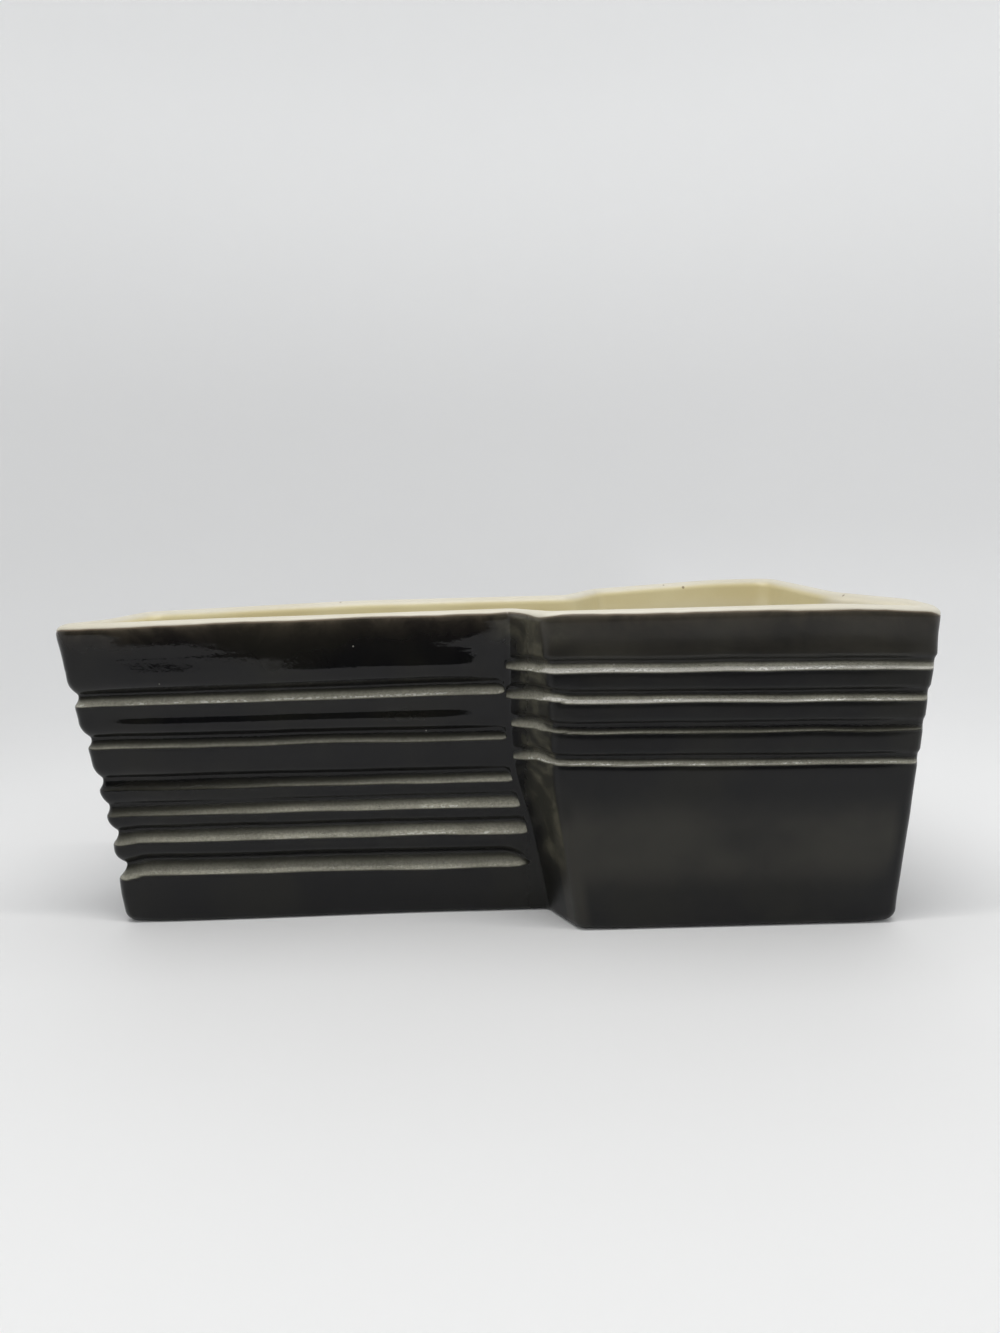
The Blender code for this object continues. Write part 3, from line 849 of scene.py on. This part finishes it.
def make_piece(name, rows, closed, material, values=None):
    """A mesh from rows of points. A closed one joins its last row to its first. Any other has a flat
    face over its first row and another over its last."""
    count = rows.shape[1]
    points = rows.reshape(-1, 3)
    pairs = len(rows) if closed else len(rows) - 1
    first = np.arange(pairs)[:, None] * count
    second = (np.arange(pairs)[:, None] + 1) % len(rows) * count
    here = np.arange(count)
    following = (here + 1) % count
    quads = np.stack((first + here, first + following, second + following, second + here), axis=-1)
    faces = quads.reshape(-1, 4).tolist()
    if not closed:
        last = (len(rows) - 1) * count
        faces.append(tuple(range(count - 1, -1, -1)))
        faces.append(tuple(range(last, last + count)))
    piece = make_object(name, points.tolist(), faces, material)
    for key, value in (values or {}).items():
        attribute = piece.data.attributes.new(key, "FLOAT", "POINT")
        attribute.data.foreach_set("value", value.astype(np.float32).ravel())
    return piece


class Nodes:
    """A short way to build a material's nodes."""

    def __init__(self, name):
        self.material = bpy.data.materials.new(name)
        self.material.use_nodes = True
        self.tree = self.material.node_tree
        self.shader = self.tree.nodes["Principled BSDF"]
        self.place = self.add("TexCoord").outputs["Object"]

    def add(self, kind, **settings):
        node = self.tree.nodes.new("ShaderNode" + kind)
        for key, value in settings.items():
            setattr(node, key, value)
        return node

    def put(self, socket, value):
        if isinstance(value, bpy.types.NodeSocket):
            self.tree.links.new(value, socket)
        else:
            socket.default_value = value

    def fill(self, node, **inputs):
        for key, value in inputs.items():
            self.put(node.inputs[key], value)

    def noise(self, scale, detail=2.0, rough=0.5, stretch=None, distort=0.0):
        place = self.place
        if stretch:
            mapping = self.add("Mapping")
            self.fill(mapping, Vector=place, Scale=stretch)
            place = mapping.outputs["Vector"]
        node = self.add("TexNoise")
        self.fill(node, Vector=place, Scale=scale, Detail=detail, Roughness=rough, Distortion=distort)
        return node.outputs["Fac"]

    def spots(self, scale):
        node = self.add("TexVoronoi")
        self.fill(node, Vector=self.place, Scale=scale)
        return node.outputs["Distance"], node.outputs["Color"]

    def value(self, name):
        return self.add("Attribute", attribute_name=name).outputs["Fac"]

    def ranged(self, value, low, high, to_low=0.0, to_high=1.0):
        node = self.add("MapRange", interpolation_type="SMOOTHSTEP")
        for key, item in zip(("Value", "From Min", "From Max", "To Min", "To Max"),
                             (value, low, high, to_low, to_high)):
            self.put(node.inputs[key], item)
        return node.outputs["Result"]

    def math(self, operation, first, second=0.0):
        node = self.add("Math", operation=operation)
        self.put(node.inputs[0], first)
        self.put(node.inputs[1], second)
        return node.outputs[0]

    def times(self, first, second):
        return self.math("MULTIPLY", first, second)

    def plus(self, first, second):
        return self.math("ADD", first, second)

    def mix(self, share, first, second):
        node = self.add("Mix", data_type="RGBA")
        self.put(node.inputs[0], share)
        for socket, colour in ((node.inputs[6], first), (node.inputs[7], second)):
            self.put(socket, colour if isinstance(colour, bpy.types.NodeSocket) else (*colour, 1.0))
        return node.outputs[2]

    def tint(self, share, colour):
        """Lay this colour over the paint so far."""
        self.paint = self.mix(share, self.paint, colour)

    def bump(self, height, distance, normal=None, strength=1.0):
        node = self.add("Bump")
        self.fill(node, Height=height, Distance=distance, Strength=strength)
        if normal:
            self.fill(node, Normal=normal)
        return node.outputs["Normal"]

    def surface(self, rough, normal):
        self.put(self.shader.inputs["Base Color"], self.paint)
        self.fill(self.shader, Roughness=rough, Normal=normal)
        return self.material


def black_glaze_material():
    """Glossy black that thins to olive grey on the ledges and to brown under the lip, with painted
    highlights, glints and groove shade on the ledges and a painted reflection and highlight low on the
    right box's front.
    """
    n = Nodes("black_glaze")
    edge = n.value("ledge_edge")
    groove = n.value("ledge_groove_shade")
    satin = n.value("satin")

    cloud = n.noise(22, 3.0, 0.55)
    blotch = n.noise(95, 4.0, 0.6, distort=0.6)
    patch = n.noise(75, 4.0, 0.55, distort=0.45)
    grain = n.noise(900, 2.0, 0.6)
    glint_noise = n.noise(1500, 1.0, stretch=(0.4, 0.4, 1.0))
    streak = n.noise(55)

    n.paint = n.mix(n.ranged(cloud, 0.42, 0.66), (0.0040, 0.0040, 0.0045), (0.0085, 0.0082, 0.0066))
    # Olive tone, which on the right box's panel is a painted reflection and low on the step's corner a
    # painted highlight
    olive_and_painted_light = n.times(n.value("olive_and_painted_light"), n.ranged(cloud, 0.30, 0.68, 0.35, 1.0))
    n.tint(olive_and_painted_light, (0.0265, 0.0250, 0.0200))
    brown = n.times(n.value("brown"), n.ranged(blotch, 0.32, 0.66, 0.40, 1.0))
    n.tint(brown, (0.060, 0.050, 0.036))
    n.tint(n.ranged(n.value("brown"), 1.0, 2.0, 0.0, 0.9), (0.19, 0.150, 0.108))
    thin = n.times(n.value("thin"), n.ranged(patch, 0.42, 0.64, 0.18, 1.0))
    n.tint(thin, (0.085, 0.080, 0.056))

    # Pale thin glaze on the ledges with a painted highlight on their edges, whitest where the paleness
    # passes 1
    pale = n.value("ledge_pale_highlight")
    slope = n.ranged(pale, 0.10, 0.72, 0.0, 0.9)
    n.tint(slope, (0.062, 0.060, 0.046))
    crest = n.times(n.ranged(pale, 0.42, 1.0), n.ranged(grain, 0.28, 0.72, 0.66, 1.0))
    crest = n.times(crest, n.ranged(streak, 0.30, 0.66, 0.70, 1.0))
    n.tint(crest, (0.350, 0.340, 0.275))
    n.tint(n.ranged(pale, 1.0, 1.5), (0.60, 0.58, 0.52))
    # Painted glints: white flecks along the edges of the palest ledges
    line = n.times(n.ranged(edge, 0.72, 0.92), n.ranged(pale, 0.80, 1.45))
    painted_glints = n.times(line, n.ranged(glint_noise, 0.50, 0.56))
    painted_glints = n.times(painted_glints, n.ranged(streak, 0.44, 0.56))
    n.tint(painted_glints, (0.95, 0.94, 0.88))
    # Painted shade in the grooves, where the glaze also lies thick
    n.tint(n.times(groove, 0.8), (0.004, 0.004, 0.004))
    distance, tone = n.spots(120)
    pin = n.times(n.math("LESS_THAN", distance, 0.035), n.math("GREATER_THAN", tone, 0.80))
    n.tint(n.times(pin, 0.7), (0.30, 0.29, 0.26))

    dull = n.times(satin, n.ranged(edge, 0.2, 0.8, 0.26, 0.08))
    rough = n.plus(n.ranged(blotch, 0.3, 0.7, 0.03, 0.07), dull)
    rough = n.plus(rough, n.times(edge, 0.06))
    n.fill(n.shader, IOR=1.35)

    peel = n.bump(n.noise(260), 0.00008, strength=0.5)
    fine = n.bump(grain, 0.000035, peel, strength=0.5)
    sparkle = n.bump(n.times(n.noise(1300, 1.0), pale), 0.00055, fine)
    return n.surface(rough, sparkle)


def cream_glaze_material():
    """Warm white on the lip and yellower inside, partly painted shade, paler lower down as painted bounce
    light and with painted light near the right box's front corner, browning where it ends, with a few
    dark specks.
    """
    n = Nodes("cream_glaze")
    cloud = n.noise(30, 3.0)
    mottle = n.noise(240, 3.0, 0.6)
    lip_colour = n.mix(n.ranged(cloud, 0.35, 0.68), (0.590, 0.560, 0.470), (0.568, 0.532, 0.430))
    yellow_shade_colour = n.mix(n.ranged(cloud, 0.35, 0.68), (0.650, 0.578, 0.345), (0.600, 0.520, 0.290))
    # The yellower inside stands partly for painted shade under the lip
    n.paint = n.mix(n.value("deep"), lip_colour, yellow_shade_colour)
    # Painted light on the inside near the right box's front corner
    n.tint(n.value("painted_corner_light"), (0.76, 0.71, 0.57))
    n.tint(n.ranged(mottle, 0.60, 0.80, 0.0, 0.16), (0.64, 0.56, 0.37))
    distance, tone = n.spots(200)
    chosen = n.math("GREATER_THAN", tone, 0.80)
    speck = n.times(n.ranged(distance, 0.10, 0.16, 1.0, 0.0), chosen)
    n.tint(n.times(speck, 0.75), (0.15, 0.10, 0.055))
    n.tint(n.value("lap"), (0.20, 0.150, 0.090))
    n.fill(n.shader, IOR=1.5)
    peel = n.bump(n.noise(300), 0.00005, strength=0.5)
    fine = n.bump(n.noise(1400), 0.00003, peel)
    return n.surface(n.ranged(mottle, 0.3, 0.7, 0.34, 0.46), fine)


def clay_material():
    """Matt fired clay with dark grains."""
    n = Nodes("fired_clay")
    grain = n.noise(1600, 3.0, 0.6)
    cloud = n.noise(45, 3.0)
    n.paint = n.mix(n.ranged(cloud, 0.35, 0.7), (0.60, 0.52, 0.41), (0.50, 0.42, 0.31))
    n.tint(n.ranged(grain, 0.58, 0.72, 0.0, 0.6), (0.30, 0.24, 0.17))
    return n.surface(n.ranged(grain, 0.3, 0.7, 0.75, 0.95), n.bump(grain, 0.00008))


def over_lip(skin, start, shares):
    """Rows over the lip, at these shares of the way from the start angles to the inside."""
    shares = shares[:, None]
    return lip(skin, start * (1 - shares) + 180 * shares)


def black_tints(rows, edge, pale, groove):
    """Where the black coat lies thin, thick, dull or brown, and where painted reflection, highlight and
    groove shade go, as values for every point.
    """
    x, y, z = rows[..., 0], rows[..., 1], rows[..., 2]
    below = np.clip(lip(0.0, LAP[None])[0, :, 2] - z, 0, 1)
    right = smooth(*RIGHT_BOX, x)
    top_band = right * smooth(*TOP_BAND, z)
    brown = np.exp(-below / BROWN_REACH) * (1 - RIGHT_LESS_BROWN * right)
    brown = brown + np.exp(-below / BROWN_RIM) + TOP_BROWN * top_band
    corner = at(FRONT_CORNER) | (on(FRONT_INNER) & (SHARE > CORNER_SHARE))
    # Painted reflection: a soft olive patch on the right box's lower front panel
    olive_and_painted_light = smooth(*PANEL_REFLECTION_FOOT, z) * smooth(*PANEL_REFLECTION_TOP, z) * on(FRONT_CORNER)
    olive_and_painted_light = np.maximum(olive_and_painted_light, TOP_OLIVE * top_band)
    # Painted highlight: paler olive low on the step's front corner
    olive_and_painted_light = np.maximum(olive_and_painted_light, smooth(*CORNER_HIGHLIGHT_TOP, z) * corner)
    satin = np.where(z > HIGH_SATIN_FROM, HIGH_SATIN, LOW_SATIN) * (1 - right) + RIGHT_SATIN * right
    satin = satin * (1 - smooth(*GLOSSY_BAND, z) * (1 - right))
    thin = JOG_THIN * smooth(*JOG_THIN_FOOT, z) * smooth(*JOG_THIN_START, SHARE)
    thin = thin * on(FRONT_INNER, BACK_JOG)
    at_step = np.exp(-((x - LIP_PATCH_X) / LIP_PATCH_REACH) ** 2) * (y < 0)
    lip_patch = at_step * smooth(LIP_PATCH_DEPTH, LIP_PATCH_DEPTH / 3, below)
    return {
        "ledge_edge": edge,
        "ledge_pale_highlight": pale,
        "ledge_groove_shade": groove,
        "brown": brown,
        "olive_and_painted_light": olive_and_painted_light,
        "satin": satin,
        "thin": np.maximum(thin, lip_patch),
    }


def black_glaze():
    """The outside coat, up to the cream's end and a little under it."""
    outer, ledge_tints = outside(0.0, GLAZE_FOOT_CLEAR)
    over = np.array([LAP * share for share, dip in LAP_DIP_ROWS] + [LAP, LAP + LAP_TUCK_ANGLE])
    dips = np.array([dip for share, dip in LAP_DIP_ROWS] + [1.0, 1.0])[:, None, None]
    top = lip(0.0, over) * (1 - dips) + lip(LAP_STEP, over) * dips
    skin = outside(GLAZE_THICKNESS, GLAZE_FOOT_CLEAR, SKIN_STEP)[0]
    skin_top = lip(GLAZE_THICKNESS, over[-1:])
    rows = np.concatenate((outer, top, skin_top, skin[::-1]))
    unmarked = np.zeros((len(rows) - len(outer), len(PLACE)))
    marks = [np.concatenate((tint, unmarked)) for tint in ledge_tints]
    values = black_tints(rows, *marks)
    return make_piece("planter_black_glaze", rows, True, black_glaze_material(), values)


def cream_glaze():
    """The inside coat, over the lip and down to where it ends outside."""
    rises, steps, browns = np.array(CREAM_END_ROWS).T
    start = LAP + rises[:, None]
    steps = steps[:, None, None]
    edge = lip(0.0, start) * (1 - steps) + lip(LAP_STEP * CREAM_END_STEP, start) * steps
    over = over_lip(0.0, start[-1], np.linspace(0, 1, CREAM_LIP_ROWS + 1)[1:])
    under = over_lip(GLAZE_THICKNESS, start[-1], np.linspace(1, 0, CREAM_SKIN_ROWS))
    skin = with_last(inside(GLAZE_THICKNESS), SKIN_STEP)
    rows = np.concatenate((skin[::-1], under, edge, over, inside(0.0)))

    first = len(skin) + len(under)
    last = first + len(edge)
    crest = len(over) // 2
    lap = np.zeros(rows.shape[:2])
    lap[first:last] = browns[:, None]
    down = over[crest, :, 2] - rows[..., 2]
    deep = smooth(*YELLOW_SHADE_DEPTH, down)
    deep[first:last + crest] = 0
    # The yellower tint of the inside with its painted shade: none at the right box's front corner, which
    # gets painted light instead
    yellow_shade_share = np.select([on(FRONT_RIGHT), on(FRONT_CORNER), at(FRONT_RIGHT)],
                      [smooth(*PAINTED_LIGHT_END, SHARE), smooth(*PAINTED_LIGHT_FRONT, AHEAD), 0], 1.0)
    values = {
        "lap": lap,
        # Yellower inside with painted shade under the lip, paler lower down as painted bounce light
        "deep": deep * (1 - BOUNCE_PALER * smooth(*BOUNCE_LIGHT_DEPTH, down)) * yellow_shade_share,
        # Painted light near the right box's front corner
        "painted_corner_light": deep * (1 - yellow_shade_share),
    }
    return make_piece("planter_cream_glaze", rows, False, cream_glaze_material(), values)


def clay_body():
    """The fired clay, which shows only at the foot."""
    foot_inner = BASE_RADIUS + CLAY_INSET + FOOT_WIDTH
    recess = [row(FOOT_RECESS * share, foot_inner + FOOT_RECESS * share) for share in (1, 0.3, 0)]
    outer = outside(CLAY_INSET, 0.0, CLAY_STEP)[0]
    over = over_lip(CLAY_INSET, np.zeros(len(PLACE)), np.linspace(0, 1, CLAY_LIP_ROWS + 1)[1:])
    hollow = with_last(inside(CLAY_INSET), CLAY_STEP)
    rows = np.concatenate((recess, outer, over, hollow))
    return make_piece("planter_clay_body", rows, False, clay_material())


def stage_material():
    """Pale paper with painted light: it glows a little, as if lit from behind more and more up the wall
    in a light tent, and round the planter and to its right on the floor.
    """
    n = Nodes("paper_painted_glow")
    n.paint = n.mix(n.noise(3), (0.755, 0.755, 0.755), (0.77, 0.77, 0.77))
    split = n.add("SeparateXYZ")
    n.fill(split, Vector=n.place)
    x, y, z = split.outputs
    flat = n.math("SQRT", n.plus(n.times(x, x), n.times(y, y)))
    # Painted light: the glow of the floor and wall
    glow = n.plus(n.ranged(flat, *FLOOR_GLOW), n.ranged(flat, *FAR_GLOW))
    glow = n.plus(glow, n.ranged(z, *WALL_GLOW))
    glow = n.plus(glow, n.times(n.ranged(x, *RIGHT_GLOW), n.ranged(z, *ON_FLOOR)))
    glow = n.plus(glow, n.times(n.ranged(x, *TILTED_GLOW), n.ranged(z, *ON_STAGE_WALL)))
    n.put(n.shader.inputs["Emission Color"], (0.985, 0.995, 1.0, 1.0))
    n.put(n.shader.inputs["Emission Strength"], glow)
    return n.surface(n.ranged(n.noise(8), 0.3, 0.7, 0.62, 0.68), n.bump(n.noise(900), 0.00002))


def make_stage():
    """A round sweep of pale paper: a flat floor that curves up into a wall."""
    sides = SWEEP_SIDES
    profile = [(r, 0.0) for r in np.linspace(0.05, SWEEP_RADIUS, 8)]
    for a in np.radians(np.linspace(8, 90, 11)):
        profile.append((SWEEP_RADIUS + COVE_RADIUS * math.sin(a), COVE_RADIUS * (1 - math.cos(a))))
    profile.append((SWEEP_RADIUS + COVE_RADIUS, WALL_TOP))
    turn = np.linspace(0, 2 * math.pi, sides, endpoint=False)
    rings = [np.column_stack((r * np.cos(turn), r * np.sin(turn), np.full(sides, z))) for r, z in profile]
    faces = [tuple(range(sides))]
    for k in range(len(profile) - 1):
        for i in range(sides):
            j = (i + 1) % sides
            faces.append((k * sides + i, (k + 1) * sides + i, (k + 1) * sides + j, k * sides + j))
    sweep = make_object("studio_sweep", np.concatenate(rings).tolist(), faces, stage_material())


def make_screen():
    """A dark screen for the glaze to reflect, in place of the dark room in front of the table."""
    points = [(x, y, z) for z in (0.0, SCREEN_HEIGHT) for x, y in SCREEN_LINE]
    count = len(SCREEN_LINE)
    faces = [(k, k + 1, k + 1 + count, k + count) for k in range(count - 1)]
    n = Nodes("dark_screen")
    n.put(n.shader.inputs["Base Color"], (0.02, 0.02, 0.022, 1.0))
    n.fill(n.shader, Roughness=0.9)
    screen = make_object("dark_screen", points, faces, n.material, soft=False)
    screen.visible_camera = False
    screen.visible_shadow = False
    screen.visible_diffuse = False


def make_lights():
    for name, place, aim, size, power, colour in LAMPS:
        light = bpy.data.lights.new(name, "AREA")
        light.shape = "RECTANGLE"
        light.size, light.size_y = size
        light.energy = power
        light.color = colour
        lamp = add_object(name, light)
        lamp.location = place
        way = Vector(aim) - Vector(place)
        lamp.rotation_euler = way.to_track_quat("-Z", "Y").to_euler()
    world = bpy.data.worlds.new("room")
    world.use_nodes = True
    background = world.node_tree.nodes["Background"]
    background.inputs["Color"].default_value = ROOM_COLOUR
    background.inputs["Strength"].default_value = ROOM_LIGHT
    bpy.context.scene.world = world


def make_camera():
    """The photograph's view: a little above the rim, looking slightly down, rolled by 1.5 degrees."""
    camera = bpy.data.cameras.new("camera")
    camera.sensor_fit = "HORIZONTAL"
    camera.sensor_width = CAMERA_LENS
    camera.lens = CAMERA_LENS
    camera.clip_start = 0.01
    camera.clip_end = 20.0
    seat = add_object("camera", camera)
    turn = Matrix.Rotation(math.pi / 2 - CAMERA_PITCH, 4, "X") @ Matrix.Rotation(CAMERA_ROLL, 4, "Z")
    seat.matrix_world = Matrix.Translation(CAMERA_PLACE) @ turn
    bpy.context.scene.camera = seat


for make, node in ((black_glaze, "black_outer_glaze"), (cream_glaze, "cream_inner_glaze"),
                   (clay_body, "clay_body")):
    piece = make()
    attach(piece, "root")
    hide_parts(node)

make_stage()
make_screen()
make_lights()
make_camera()
scene = bpy.context.scene
scene.view_settings.view_transform = "Standard"
scene.view_settings.look = "None"
